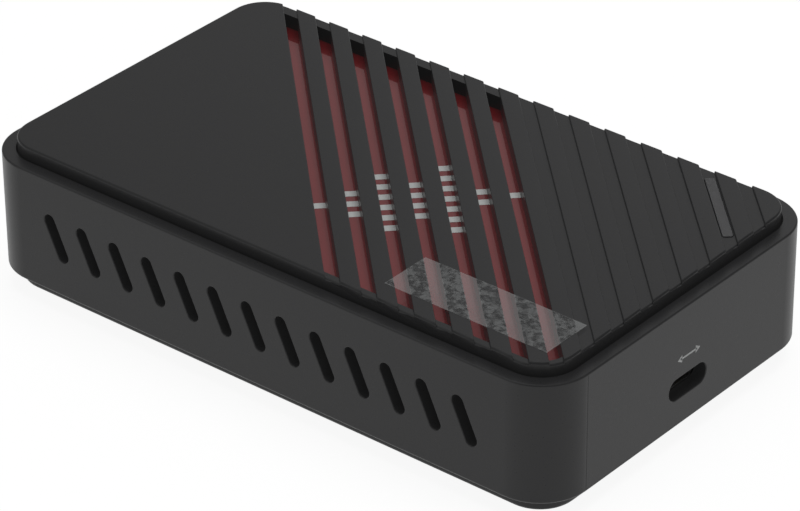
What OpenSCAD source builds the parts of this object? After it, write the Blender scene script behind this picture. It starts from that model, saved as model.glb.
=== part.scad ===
// Video capture box: a ring-shaped case wall, closed below by a base and above by a cover whose
// diagonal ribs and slots show a glossy accent panel. One data port at one end, two video ports at the other.
// Millimetres. The origin is on the table under the middle of the case, +X runs to the data port, +Z is up.

/* [Case] */
// Length over the end walls
case_l = 112.6; // [110:0.1:125]
// Width over the long walls
case_w = 66.2; // [64:0.1:78]
// Height from the table to the top of the ribs
case_h = 26; // [25:0.1:32]
// Radius of the upright corners
corner_r = 8.5; // [7.5:0.1:11]
// Thickness of the ring's walls
wall_t = 2.2; // [1.8:0.1:2.5]
// Height of the ring's lower edge above the table
ring_lift = 3.4; // [3:0.1:3.8]
// Rounding of the ring's upper outer edge
ring_edge_r = 0.3; // [0.2:0.05:0.6]
// Rounding of the ring's lower outer edge
ring_foot_r = 0.5; // [0.3:0.05:0.8]
// Width of the two seats inside the ring
seat_w = 1.4; // [1:0.1:1.6]
// Thickness of the two seats inside the ring
seat_t = 1.2; // [0.8:0.1:1.6]

/* [Cover] */
// Height of the cover above the ring's rim
cover_proud = 2.2; // [1.8:0.1:2.8]
// Depth of the cover's skirt below the ring's rim
cover_sink = 2.6; // [2:0.1:3.2]
// Groove between the cover and the ring
cover_gap = 0.3; // [0.2:0.05:0.5]
// Thickness of the cover's plate at the ribs
cover_t = 2.7; // [2.2:0.1:3.2]
// Rounding of the cover's top edge
cover_edge_r = 0.35; // [0.2:0.05:0.8]
// Width of the band round the plate that carries the rounding
plate_edge_w = 2; // [1.8:0.1:2.4]
// Thickness of the cover's skirt
skirt_t = 1.2; // [1.1:0.1:1.5]

/* [Ribs and slots] */
// Distance between neighbouring valleys, square to the ribs
rib_pitch = 4.97; // [4.7:0.01:5.1]
// Width of a valley, square to the ribs
valley_w = 2.12; // [1.8:0.01:2.4]
// Depth of a valley below the ribs
valley_depth = 0.36; // [0.3:0.01:0.5]
// Distance of the first valley from the corner by the light pipe, square to the ribs
valley_start = 76.2; // [75:0.1:78]
// Number of valleys
valley_count = 14; // [13:1:15]
// Number of valleys that are open slots, counted from the first
slot_count = 7; // [5:1:7]
// Mean bridge between the slots' ends and the edge of the cover
slot_margin = 1.75; // [1.7:0.05:2.4]
// Shift of the slots towards the front, along each side of the case
slot_shift = 0.4; // [0:0.05:0.5]

/* [Accent panel] */
// Thickness of the accent panel
panel_t = 1.5; // [1.2:0.1:2]
// Overlap of the panel past the outer slots
panel_lap = 2; // [1:0.1:2.4]
// Gap round the panel
panel_gap = 0.25; // [0.15:0.05:0.5]
// Diameter of the pegs that hold the panel
peg_d = 1.6; // [1.2:0.1:1.8]
// Gap round a peg in the panel
peg_gap = 0.15; // [0.1:0.05:0.3]
// Diameter of a peg's melted head
peg_head_d = 2.8; // [2.4:0.1:3.2]
// Height of a peg's melted head
peg_head_h = 0.7; // [0.5:0.1:1]
// Distance of the pegs from the long sides of the case
peg_inset = 11.1; // [9:0.1:15]

/* [Light pipe] */
// Valley that holds the light pipe, counted from 0
pipe_valley = 12; // [11:1:12]
// Length of the light pipe's bar
pipe_l = 17.5; // [14:0.1:19]
// Width of the light pipe's bar
pipe_w = 1.7; // [1.4:0.05:1.75]
// Radius of the bar's corners
pipe_corner_r = 0.45; // [0.2:0.05:0.6]
// Gap round the bar in the cover
pipe_gap = 0.08; // [0.05:0.01:0.12]
// Height of the bar above the valley's floor
pipe_proud = 0.15; // [0.05:0.05:0.25]
// Distance of the bar's middle from the long side of the case
pipe_inset = 10.8; // [9.6:0.1:12]
// Length and width of the flange under the cover
pipe_flange = [11, 3.4];
// Thickness of the flange under the cover
pipe_flange_t = 1; // [0.6:0.1:1.4]
// Length of the stem down to the status lamp
pipe_stem_l = 4; // [3:0.1:6]
// Gap between the stem and the status lamp
pipe_lamp_gap = 0.3; // [0.2:0.05:0.6]

/* [Side vents] */
// Number of vents in each long wall
vent_count = 13; // [9:1:13]
// Distance between neighbouring vents
vent_pitch = 6.74; // [6:0.01:6.9]
// Width of a vent
vent_w = 2.1; // [1.6:0.1:2.6]
// Length of a vent, ends included
vent_l = 8.2; // [6:0.1:9]
// Lean of a vent from the upright
vent_lean = 24.8; // [0:0.1:30]
// Height of the vents' middle above the table
vent_z = 13.6; // [12:0.1:14.5]

/* [Base] */
// Gap between the base and the ring
base_gap = 0.15; // [0.1:0.05:0.3]
// Thickness of the base's floor
base_t = 2; // [1.6:0.1:2.2]
// Thickness of the base's rim
base_rim_t = 1.5; // [1.2:0.1:1.8]
// Height of the base's rim inside the ring
base_sink = 1.8; // [1.4:0.1:2.2]
// Rounding of the base's lower edge
base_edge_r = 0.6; // [0.3:0.05:1]
// Number of vents in the base
base_vent_count = 7; // [5:1:7]
// Distance between neighbouring vents in the base
base_vent_pitch = 7; // [6:0.1:8]
// Length and width of a vent in the base
base_vent = [18, 2.2];

/* [Feet] */
// Diameter of a foot
foot_d = 9; // [7:0.1:10]
// Height of a foot below the base
foot_h = 0.7; // [0.5:0.1:1]
// Depth of a foot's recess in the base
foot_recess = 0.6; // [0.4:0.1:0.8]
// Gap round a foot in its recess
foot_gap = 0.15; // [0.1:0.05:0.3]
// Rounding of a foot's lower edge
foot_edge_r = 0.4; // [0.2:0.05:0.6]
// Distance of the feet from the ends and from the long sides of the case
foot_inset = [17, 9.5];

/* [Case screws] */
// Diameter of a case screw
screw_d = 2.6; // [2.2:0.1:2.8]
// Length of a case screw under its head
screw_l = 14; // [11:0.5:16]
// Diameter of a case screw's head
screw_head_d = 4.6; // [4:0.1:4.8]
// Height of a case screw's head
screw_head_h = 1.8; // [1.4:0.1:2.2]
// Gap round a screw's head in its well
screw_head_gap = 0.25; // [0.2:0.05:0.4]
// Gap round a screw in the base and in the board
screw_gap = 0.2; // [0.15:0.05:0.3]
// Gap round a screw in its pilot hole
pilot_gap = 0.03; // [0.02:0.01:0.05]
// Depth of plastic under a screw's head
screw_web = 2.4; // [2:0.1:2.8]
// Diameter of the posts in the cover
cover_post_d = 6; // [5:0.1:6.4]
// Diameter of the posts in the base
base_post_d = 6.8; // [6.6:0.1:7.2]
// Gap between the cover's posts and the board
post_gap = 0.1; // [0.05:0.05:0.2]
// Distance of the posts by the video ports from the end and from the long sides
video_post_inset = [7.4, 9.6];
// Distance of the posts by the data port from the end
data_post_inset = 8.3; // [7.8:0.1:9]
// Distance of the posts by the data port from the length axis
data_post_y = 12; // [11:0.1:14]

/* [Main board] */
// Height of the board's underside above the table
board_z = 6.85; // [6.5:0.05:7.2]
// Thickness of the board
board_t = 1.6; // [1.2:0.1:2]
// Gap between the board's edge and the ring's seats
board_gap = 0.4; // [0.3:0.05:0.6]
// Radius of the board's corners
board_r = 3; // [2:0.1:4]
// Places of the board's own screws along the case
board_screw_x = [-22, 33];
// Distance of the board's own screws from the long sides of the case
board_screw_inset = 8.6; // [8:0.1:10]
// Diameter of a board screw
board_screw_d = 2; // [1.8:0.1:2.2]
// Length of a board screw under its head
board_screw_l = 4.6; // [4:0.1:4.8]
// Diameter and height of a board screw's head
board_screw_head = [4, 1.4];
// Diameter of the board screws' bosses in the base
board_boss_d = 5; // [4.4:0.1:5.6]

/* [Data port] */
// Width of the data port's shell
data_w = 8.94; // [8.8:0.01:9.2]
// Height of the data port's shell
data_h = 3.26; // [3.1:0.01:3.4]
// Length of the data port's shell
data_l = 7.3; // [7:0.1:8]
// Thickness of the data port's shell
data_shell_t = 0.3; // [0.2:0.05:0.35]
// Width and thickness of the tongue
data_tongue = [6.69, 0.7];
// Depth of the insulating block behind the tongue
data_block_l = 2.2; // [1.8:0.1:2.6]
// Setback of the tongue's tip behind the shell's mouth
data_tongue_setback = 0.8; // [0.6:0.1:1.2]
// Number of contacts on each face of the tongue
data_contacts_n = 12; // [8:1:12]
// Pitch of the data contacts
data_contact_pitch = 0.5; // [0.45:0.01:0.52]
// Width, length and thickness of a data contact
data_contact = [0.26, 3.2, 0.08];

/* [Video ports] */
// Width of a video port's shell
video_w = 14.9; // [14.6:0.1:15.2]
// Height of a video port's shell
video_h = 5.5; // [5.3:0.1:5.8]
// Length of a video port's shell
video_l = 11; // [10:0.1:12]
// Thickness of a video port's shell
video_shell_t = 0.4; // [0.3:0.05:0.5]
// Width and height of the shell's cut-off lower corners
video_corner = [1.9, 2.1];
// Distance of a video port's middle from the long side of the case
video_inset = 21.6; // [21:0.1:22.5]
// Width and thickness of a video tongue
video_tongue = [10.2, 1.9];
// Depth of the insulating block behind a video tongue
video_block_l = 3; // [2.4:0.1:3.6]
// Setback of a video tongue's tip behind the shell's mouth
video_tongue_setback = 1.2; // [1:0.1:1.6]
// Number of contacts on the upper face of a video tongue, with one fewer below
video_contacts_n = 10; // [8:1:10]
// Pitch of the video contacts
video_contact_pitch = 1; // [0.9:0.01:1]
// Width, length and thickness of a video contact
video_contact = [0.5, 5.6, 0.15];

/* [Port fits] */
// Setback of the ports' mouths behind the wall's inner face
port_setback = 0.15; // [0.1:0.05:0.3]
// Gap round a port's shell in the wall's opening
port_gap = 0.15; // [0.1:0.05:0.3]
// Gap between a port's block and its shell
block_gap = 0.02; // [0.01:0.01:0.05]

/* [Heat sink] */
// Middle of the capture processor and of the heat sink
processor_at = [4, 0];
// Width and thickness of the capture processor
processor_size = [19, 1.2];
// Width and thickness of the thermal pad
pad_size = [18, 0.5];
// Width of the heat sink along the case
sink_l = 34; // [30:0.5:36]
// Width of the heat sink across the case
sink_w = 34; // [30:0.5:36]
// Thickness of the heat sink's plate
sink_plate_t = 2.4; // [1.8:0.1:3]
// Height of the heat sink's fins above its plate
fin_h = 6; // [4:0.1:7]
// Thickness of a fin
fin_t = 1; // [0.8:0.1:1.4]
// Number of fins
fin_count = 9; // [7:1:11]
// Diameter of the heat sink's two legs
leg_d = 5; // [4.4:0.1:6]
// Distance of the legs from the heat sink's edges
leg_inset = 3.5; // [3:0.1:4.5]
// Diameter and length of a heat sink screw
sink_screw = [2, 4.6];
// Diameter and height of a heat sink screw's head
sink_screw_head = [3.8, 1.2];

/* [Board parts] */
// Middle of the memory chips, which stand on both sides of the length axis
memory_at = [29, 8];
// Length, width and height of a memory chip
memory_size = [8, 12.5, 1.1];
// Length, width and height of the video chips
video_chip_size = [10, 10, 1];
// Distance of the video chips from the video ports' shells
video_chip_gap = 7; // [6:0.1:9]
// Length, width and height of a surge guard
guard_size = [1.2, 2.6, 0.6];
// Distance of the surge guards from the video ports' shells
guard_gap = 2; // [1.6:0.1:3]
// Distance of the flash chip from the end and from the long side of the case
flash_inset = [18.3, 15.6];
// Distance of the data switch from the data port's shell
switch_gap = 6; // [5:0.1:8]
// Length, width and height of the flash chip's body
flash_size = [5, 4, 1.5];
// Length, width and height of the data switch
switch_size = [4.5, 3.5, 0.8];
// Middle of the power coils' row along the case
coil_row_x = 8; // [4:0.5:12]
// Distance of the power coils' row from the long side of the case
coil_row_inset = 10.1; // [9.6:0.1:11]
// Number of power coils, and of regulators beside them
coil_count = 4; // [3:1:4]
// Pitch of the power coils
coil_pitch = 8; // [7:0.1:8.5]
// Width and height of a power coil
coil_size = [4.6, 2.4];
// Distance between the rows of power coils and regulators
regulator_step = 4.2; // [3.8:0.1:4.6]
// Length, width and height of a regulator
regulator_size = [3, 1.8, 0.9];
// Middle of the can capacitors' row along the case
can_row_x = -2; // [-4:0.5:4]
// Distance of the can capacitors' row from the long side of the case
can_row_inset = 10.1; // [9.6:0.1:11]
// Number of can capacitors
can_count = 3; // [2:1:4]
// Pitch of the can capacitors
can_pitch = 9; // [7:0.1:9.5]
// Diameter and height of a can capacitor
can_size = [5, 5.8];
// Width and height of a can capacitor's foot
can_foot = [5.3, 0.9];
// Distance of a timing crystal from the middle of the chip that it times
crystal_step = 9; // [8:0.1:10]
// Length, width and height of a timing crystal
crystal_size = [3.2, 2.5, 0.8];
// Length, width and height of the status lamp
lamp_size = [3.2, 2.8, 1.2];
// Length, width and height of a small board part
small_part = [1.2, 0.6, 0.5];
// Number of small board parts on each side of the processor
small_part_count = 6; // [4:1:7]
// Pitch of the small board parts
small_part_pitch = 2.4; // [2:0.1:2.8]
// Distance of the small board parts from the processor
small_part_gap = 1.4; // [1:0.1:2]

/* [Film] */
// Distance of the clear film from the end and from the long side of the case
film_inset = [5.9, 6.4];
// Length and width of the clear film
film_size = [30, 9.45];
// Thickness of the clear film
film_t = 0.08; // [0.05:0.01:0.15]

/* [Hidden] */
$fn = 64;

// Room for cuts to run past the faces they open
cut = 1;
// Levels, from the table up
rim_z = case_h - cover_proud;
cover_skirt_z = rim_z - cover_sink;
cover_plate_z = case_h - cover_t;
valley_z = case_h - valley_depth;
panel_z = cover_plate_z - panel_t;
base_floor_z = foot_h + base_t;
base_rim_z = ring_lift + base_sink;
screw_seat_z = board_z - screw_web;
board_top = board_z + board_t;
lamp_top = board_top + lamp_size.z;
sink_z = board_top + processor_size.y + pad_size.y;
// Distances in from the case's outline
cover_inset = wall_t + cover_gap;
base_inset = wall_t + base_gap;
panel_inset = cover_inset + skirt_t + panel_gap;
board_inset = wall_t + seat_w + board_gap;
// The ribs run along one diagonal, and u is the distance across them
first_u = (case_l + case_w) / sqrt(8) - valley_start;
panel_u = first_u - panel_lap;
panel_w = (slot_count - 1) * rib_pitch + valley_w + 2 * panel_lap;
pipe_u = first_u + pipe_valley * rib_pitch + valley_w / 2;
lamp_y = case_w / 2 - pipe_inset;
lamp_at = [pipe_u * sqrt(2) - lamp_y, lamp_y];
// Reach of a diagonal strip that crosses the whole cover
reach = case_l + case_w;
// Ports
port_mouth_x = case_l / 2 - wall_t - port_setback;
data_z = board_top + data_h / 2;
video_z = board_top + video_h / 2;
video_back_x = video_l - port_mouth_x;
video_y = case_w / 2 - video_inset;
// Places of the posts that the case screws join, and of the feet
video_post = [case_l / 2 - video_post_inset.x, case_w / 2 - video_post_inset.y];
data_post = [case_l / 2 - data_post_inset, data_post_y];
post_places = [
    [-video_post.x, -video_post.y], [-video_post.x, video_post.y],
    [data_post.x, -data_post.y], [data_post.x, data_post.y]
];
foot_place = [case_l / 2 - foot_inset.x, case_w / 2 - foot_inset.y];
// Places on the board
board_screw_y = case_w / 2 - board_screw_inset;
board_screw_places = [[board_screw_x[0], -board_screw_y], [board_screw_x[1], board_screw_y]];
flash_at = [case_l / 2 - flash_inset.x, flash_inset.y - case_w / 2];
switch_at = [port_mouth_x - data_l - switch_gap, 0];
video_chip_x = video_back_x + video_chip_gap + video_chip_size.x / 2;
crystal_places = [[video_chip_x, video_y + crystal_step], [flash_at.x - crystal_step, flash_at.y]];
coil_row_at = [coil_row_x, coil_row_inset - case_w / 2];
regulator_row_at = [coil_row_x, coil_row_at.y + regulator_step];
can_row_at = [can_row_x, case_w / 2 - can_row_inset];
// The pegs stand on the middle of the second and of the last rib between the slots
peg_ribs = [0, slot_count - 2];
peg_y = case_w / 2 - peg_inset;
peg_places = [
    for (rib = peg_ribs, y = [-peg_y, peg_y])
        [(first_u + (rib + 0.5) * rib_pitch + valley_w / 2) * sqrt(2) - y, y]
];
leg_place = [sink_l / 2 - leg_inset, sink_w / 2 - leg_inset];
leg_places = [for (side = [-1, 1]) [processor_at.x + side * leg_place.x, processor_at.y + side * leg_place.y]];

case_black = "#3b3b3c";
cover_black = "#363637";
board_green = "#1f3d2c";
chip_black = "#1c1c1e";
metal_grey = "#b9bcc0";
contact_gold = "#c9a44a";

// Rectangle with round corners
module rounded_rect(l, w, r) {
    square([l - 2 * r, w], center = true);
    square([l, w - 2 * r], center = true);
    for (x = [r - l / 2, l / 2 - r], y = [r - w / 2, w / 2 - r])
        translate([x, y]) circle(r);
}

// Slot shape with round ends, lying along X
module stadium(l, d) {
    square([l - d, d], center = true);
    for (x = [(d - l) / 2, (l - d) / 2])
        translate([x, 0]) circle(d = d);
}

// What a round of radius r takes off the outer corner at (x, y); side is 1 at a low corner, -1 at a high one
module corner_waste(x, y, r, side) {
    difference() {
        translate([x - r, side > 0 ? y : y - r]) square(r);
        translate([x - r, y + side * r]) circle(r);
    }
}

// Upright bar of a rim's profile, with its outer corners rounded
module rim_bar(t, low, high, low_r = 0, high_r = 0) {
    difference() {
        translate([-t, low]) square([t, high - low]);
        if (low_r > 0) corner_waste(0, low, low_r, 1);
        if (high_r > 0) corner_waste(0, high, high_r, -1);
    }
}

// Runs a profile round the case's outline, moved in by inset; the profile's x is 0 at that outline
module case_sweep(inset) {
    r = corner_r - inset;
    half = [case_l / 2 - corner_r, case_w / 2 - corner_r];
    for (side = [0, 1]) {
        rotate([0, 0, 180 * side])
            translate([-half.x, half.y + r, 0]) rotate([90, 0, 90]) linear_extrude(2 * half.x) children();
        rotate([0, 0, 180 * side + 90])
            translate([-half.y, half.x + r, 0]) rotate([90, 0, 90]) linear_extrude(2 * half.y) children();
    }
    corners = [[1, 1], [-1, 1], [-1, -1], [1, -1]];
    for (i = [0:3])
        translate([corners[i].x * half.x, corners[i].y * half.y, 0]) rotate([0, 0, 90 * i])
            rotate_extrude(angle = 90) translate([r, 0]) children();
}

// Case outline moved in by inset
module case_outline(inset) {
    rounded_rect(case_l - 2 * inset, case_w - 2 * inset, corner_r - inset);
}

// Slab between two levels
module slab(low, high) {
    translate([0, 0, low]) linear_extrude(high - low) children();
}

// Solid along X, from a shape whose axes are Y and Z
module along_x(low, high) {
    translate([low, 0, 0]) rotate([90, 0, 90]) linear_extrude(high - low) children();
}

// Strip along the ribs, w wide from u on
module diagonal_strip(u, w) {
    rotate(45) translate([u, -reach / 2]) square([w, reach]);
}

// Turns and moves a shape to the light pipe's place
module at_pipe() {
    translate(lamp_at) rotate(-45) children();
}

module at_places(places) {
    for (p = places) translate(p) children();
}

// Round bar between two levels
module post(d, low, high) {
    translate([0, 0, low]) cylinder(d = d, h = high - low);
}

// Screw with a cross recess, its head's seat at z = 0 and its shank along +Z
module screw(d, l, head_d, head_h) {
    recess_w = head_d * 0.18;
    recess_l = head_d * 0.6;
    difference() {
        union() {
            cylinder(d = d, h = l);
            translate([0, 0, -head_h]) rotate_extrude() rim_head(head_d / 2, head_h, head_h * 0.35);
        }
        for (turn = [0, 90])
            rotate(turn) translate([-recess_l / 2, -recess_w / 2, -head_h - cut])
                cube([recess_l, recess_w, head_h * 0.55 + cut]);
    }
}

// Half section of a round head or foot, its low outer edge rounded
module rim_head(r, h, edge) {
    difference() {
        square([r, h]);
        corner_waste(r, 0, edge, 1);
    }
}

// Flat chip with its first pin marked by a dimple
module chip(l, w, h) {
    dimple = min(l, w) * 0.09;
    translate([0, 0, board_top]) difference() {
        translate([-l / 2, -w / 2, 0]) cube([l, w, h]);
        translate([l * 0.5 - 2.2 * dimple, w * 0.5 - 2.2 * dimple, h - 0.1]) cylinder(r = dimple, h = cut);
    }
}

// Ring of the case: walls with the vents and port openings, and a seat inside for the cover and for the base
module body_shell() {
    color(case_black) difference() {
        case_sweep(0) {
            rim_bar(wall_t, ring_lift, rim_z, ring_foot_r, ring_edge_r);
            for (low = [base_rim_z, cover_skirt_z - seat_t])
                translate([-wall_t - seat_w, low]) square([wall_t / 2 + seat_w, seat_t]);
        }
        for (i = [0:vent_count - 1])
            translate([(i - (vent_count - 1) / 2) * vent_pitch, 0, vent_z]) rotate([90, 0, 0])
                linear_extrude(case_w + 2 * cut, center = true) rotate(90 + vent_lean) stadium(vent_l, vent_w);
        along_x(case_l / 2 - wall_t - cut, case_l / 2 + cut)
            translate([0, data_z]) stadium(data_w + 2 * port_gap, data_h + 2 * port_gap);
        along_x(-case_l / 2 - cut, wall_t + cut - case_l / 2)
            for (side = [-1, 1])
                translate([side * video_y, video_z]) video_outline(port_gap);
    }
}

// The cover's plate up to a level, with its top edge rounded
module cover_plate(top) {
    slab(cover_plate_z, top) case_outline(cover_inset + (cover_edge_r + plate_edge_w) / 2);
    case_sweep(cover_inset) rim_bar(plate_edge_w, cover_plate_z, top, 0, cover_edge_r);
}

// Strips over the valleys that are counted from 0 to count - 1
module valley_strips(count) {
    for (i = [0:count - 1])
        diagonal_strip(first_u + i * rib_pitch, valley_w);
}

// Cover: a plate with ribs that run down over its rounded edge, a skirt, screw posts and the panel's pegs
module top_cover() {
    color(cover_black) difference() {
        union() {
            cover_plate(case_h);
            case_sweep(cover_inset) rim_bar(skirt_t, cover_skirt_z, cover_plate_z + cover_t / 4);
            at_places(post_places) post(cover_post_d, board_top + post_gap, cover_plate_z + cover_t / 2);
            at_places(peg_places) {
                post(peg_d, panel_z - peg_head_h, cover_plate_z + cover_t / 2);
                post(peg_head_d, panel_z - peg_head_h, panel_z);
            }
        }
        difference() {
            slab(valley_z - cover_edge_r, case_h + cut) valley_strips(valley_count);
            cover_plate(valley_z);
        }
        slab(cover_plate_z - cut / 4, case_h + cut) intersection() {
            translate([slot_shift, -slot_shift]) case_outline(cover_inset + slot_margin);
            valley_strips(slot_count);
        }
        slab(cover_plate_z - cut, case_h) at_pipe() pipe_bar(pipe_gap);
        at_places(post_places)
            post(screw_d + 2 * pilot_gap, board_top, screw_seat_z + screw_l + cut);
    }
}

// Glossy panel under the slots
module accent_panel() {
    color("#6e1c22") slab(panel_z, cover_plate_z) difference() {
        intersection() {
            case_outline(panel_inset);
            diagonal_strip(panel_u, panel_w);
        }
        at_places(peg_places) circle(d = peg_d + 2 * peg_gap);
        at_places(post_places) circle(d = cover_post_d + 2 * panel_gap);
    }
}

// Outline of the light pipe's bar, grown by g
module pipe_bar(g) {
    rounded_rect(pipe_l + 2 * g, pipe_w + 2 * g, pipe_corner_r + g);
}

// Bar in the cover, the flange that holds it and the stem that brings the lamp's light up
module light_pipe() {
    color("#8f9194") {
        slab(cover_plate_z, valley_z + pipe_proud) at_pipe() pipe_bar(0);
        slab(cover_plate_z - pipe_flange_t, cover_plate_z) at_pipe() stadium(pipe_flange.x, pipe_flange.y);
        slab(lamp_top + pipe_lamp_gap, cover_plate_z) at_pipe() stadium(pipe_stem_l, pipe_w);
    }
}

// Clear film on the ribs
module clear_film() {
    color("#d8d8da80")
        translate([case_l / 2 - film_inset.x - film_size.x, film_inset.y - case_w / 2, case_h])
            cube([film_size.x, film_size.y, film_t]);
}

// Base: a floor with a rim, screw posts, board bosses, vents and foot recesses
module base_plate() {
    color(case_black) difference() {
        union() {
            slab(foot_h, base_floor_z) case_outline(base_inset + base_rim_t / 2);
            case_sweep(base_inset) rim_bar(base_rim_t, foot_h, base_rim_z, base_edge_r, 0);
            at_places(post_places) post(base_post_d, foot_h + base_t / 2, board_z);
            at_places(board_screw_places) post(board_boss_d, foot_h + base_t / 2, board_z);
        }
        at_places(post_places) {
            post(screw_head_d + 2 * screw_head_gap, foot_h - cut, screw_seat_z);
            post(screw_d + 2 * screw_gap, foot_h - cut, board_z + cut);
        }
        at_places(board_screw_places)
            post(board_screw_d + 2 * pilot_gap, board_top - board_screw_l - cut / 2, board_z + cut);
        at_foot_places() post(foot_d + 2 * foot_gap, foot_h - cut, foot_h + foot_recess);
        slab(foot_h - cut, base_floor_z + cut)
            for (i = [0:base_vent_count - 1])
                translate([(i - (base_vent_count - 1) / 2) * base_vent_pitch, 0])
                    rotate(90) stadium(base_vent.x, base_vent.y);
    }
}

module at_foot_places() {
    for (x = [-foot_place.x, foot_place.x], y = [-foot_place.y, foot_place.y])
        translate([x, y, 0]) children();
}

module rubber_feet() {
    color("#242425") at_foot_places()
        rotate_extrude() rim_head(foot_d / 2, foot_h + foot_recess, foot_edge_r);
}

module case_screws() {
    color(metal_grey) at_places(post_places)
        translate([0, 0, screw_seat_z]) screw(screw_d, screw_l, screw_head_d, screw_head_h);
}

// Board with holes for the case screws, its own screws and the heat sink's screws
module main_board() {
    color(board_green) slab(board_z, board_top) difference() {
        rounded_rect(case_l - 2 * board_inset, case_w - 2 * board_inset, board_r);
        at_places(post_places) circle(d = screw_d + 2 * screw_gap);
        at_places(board_screw_places) circle(d = board_screw_d + 2 * screw_gap);
        at_places(leg_places) circle(d = sink_screw.x + 2 * screw_gap);
    }
}

module board_screws() {
    color(metal_grey) at_places(board_screw_places)
        translate([0, 0, board_top]) mirror([0, 0, 1])
            screw(board_screw_d, board_screw_l, board_screw_head.x, board_screw_head.y);
}

// Tube-like shell round the data port
module data_port_shell() {
    color(metal_grey) along_x(port_mouth_x - data_l, port_mouth_x)
        translate([0, data_z]) difference() {
            stadium(data_w, data_h);
            stadium(data_w - 2 * data_shell_t, data_h - 2 * data_shell_t);
        }
}

// Insulating block that fills the shell's back, with the tongue in front of it
module data_port_insert() {
    block_w = data_w - 2 * data_shell_t - 2 * block_gap;
    block_h = data_h - 2 * data_shell_t - 2 * block_gap;
    back = port_mouth_x - data_l;
    color(chip_black) {
        along_x(back, back + data_block_l) translate([0, data_z]) stadium(block_w, block_h);
        along_x(back, port_mouth_x - data_tongue_setback)
            translate([0, data_z]) square([data_tongue.x, data_tongue.y], center = true);
    }
}

module data_port_contacts() {
    tip = port_mouth_x - data_tongue_setback - data_contact.x;
    color(contact_gold)
        for (i = [0:data_contacts_n - 1], face = [-1, 1])
            translate([tip - data_contact.y, (i - (data_contacts_n - 1) / 2) * data_contact_pitch,
                       data_z + face * (data_tongue.y + data_contact.z) / 2])
                translate([0, -data_contact.x / 2, -data_contact.z / 2])
                    cube([data_contact.y, data_contact.x, data_contact.z]);
}

// Outline of a video port's shell, grown by g: a box with its lower corners cut off
module video_outline(g) {
    x = video_w / 2 + g;
    y = video_h / 2 + g;
    polygon([[-x, y], [x, y], [x, video_corner.y - y], [x - video_corner.x, -y],
             [video_corner.x - x, -y], [-x, video_corner.y - y]]);
}

module video_shell(side) {
    color(metal_grey) along_x(-port_mouth_x, video_back_x)
        translate([side * video_y, video_z]) difference() {
            video_outline(0);
            video_outline(-video_shell_t);
        }
}

module video_insert(side) {
    color(chip_black) translate([0, side * video_y, 0]) {
        along_x(video_back_x - video_block_l, video_back_x)
            translate([0, video_z]) video_outline(-video_shell_t - block_gap);
        along_x(video_tongue_setback - port_mouth_x, video_back_x)
            translate([0, video_z]) square([video_tongue.x, video_tongue.y], center = true);
    }
}

module video_contacts(side) {
    tip = video_tongue_setback + video_contact.x - port_mouth_x;
    color(contact_gold) translate([0, side * video_y, 0])
        for (face = [-1, 1]) {
            count = face > 0 ? video_contacts_n : video_contacts_n - 1;
            for (i = [0:count - 1])
                translate([tip, (i - (count - 1) / 2) * video_contact_pitch - video_contact.x / 2,
                           video_z + face * (video_tongue.y + video_contact.z) / 2 - video_contact.z / 2])
                    cube([video_contact.y, video_contact.x, video_contact.z]);
        }
}

module video_in_shell() { video_shell(1); }
module video_in_insert() { video_insert(1); }
module video_in_contacts() { video_contacts(1); }
module video_out_shell() { video_shell(-1); }
module video_out_insert() { video_insert(-1); }
module video_out_contacts() { video_contacts(-1); }

module capture_processor() {
    color(chip_black) translate(processor_at) chip(processor_size.x, processor_size.x, processor_size.y);
}

module thermal_pad() {
    color("#8d97a8") translate(processor_at)
        slab(sink_z - pad_size.y, sink_z) square(pad_size.x, center = true);
}

// Plate with fins across the case, on two legs that take the screws from under the board
module heat_sink() {
    fin_pitch = (sink_l - fin_t) / (fin_count - 1);
    color("#9a9ea3") difference() {
        union() {
            translate(processor_at) slab(sink_z, sink_z + sink_plate_t) square([sink_l, sink_w], center = true);
            translate(processor_at) slab(sink_z, sink_z + sink_plate_t + fin_h)
                for (i = [0:fin_count - 1])
                    translate([i * fin_pitch - sink_l / 2, -sink_w / 2]) square([fin_t, sink_w]);
            at_places(leg_places) post(leg_d, board_top, sink_z + sink_plate_t / 2);
        }
        at_places(leg_places)
            post(sink_screw.x + 2 * pilot_gap, board_top - cut, board_z + sink_screw.y + cut / 2);
    }
}

module heat_sink_screws() {
    color(metal_grey) at_places(leg_places)
        translate([0, 0, board_z]) screw(sink_screw.x, sink_screw.y, sink_screw_head.x, sink_screw_head.y);
}

module memory_chips() {
    color(chip_black) for (side = [-1, 1])
        translate([memory_at.x, side * memory_at.y]) chip(memory_size.x, memory_size.y, memory_size.z);
}

module video_chip(side) {
    color(chip_black)
        translate([video_chip_x, side * video_y])
            chip(video_chip_size.x, video_chip_size.y, video_chip_size.z);
}

module video_receiver_chip() { video_chip(1); }
module video_driver_chip() { video_chip(-1); }

module surge_guards() {
    color(chip_black) for (side = [-1, 1], step = [-1, 1])
        translate([video_back_x + guard_gap + guard_size.x / 2,
                   side * video_y + step * guard_size.y])
            chip(guard_size.x, guard_size.y, guard_size.z);
}

// Body with four legs on each side
module flash_chip() {
    leg = [0.4, 1, 0.25];
    pitch = 1.27;
    color(chip_black) translate(flash_at) {
        chip(flash_size.x, flash_size.y, flash_size.z);
        for (i = [-1.5:1.5], side = [-1, 1])
            translate([i * pitch - leg.x / 2, side * (flash_size.y / 2 + leg.y / 2) - leg.y / 2, board_top])
                cube([leg.x, leg.y, leg.z]);
    }
}

module data_switch_chip() {
    color(chip_black) translate(switch_at) chip(switch_size.x, switch_size.y, switch_size.z);
}

// Repeats a board part along a row centred on a place
module board_row(at, count, pitch) {
    for (i = [0:count - 1])
        translate([at.x + (i - (count - 1) / 2) * pitch, at.y, 0]) children();
}

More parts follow.
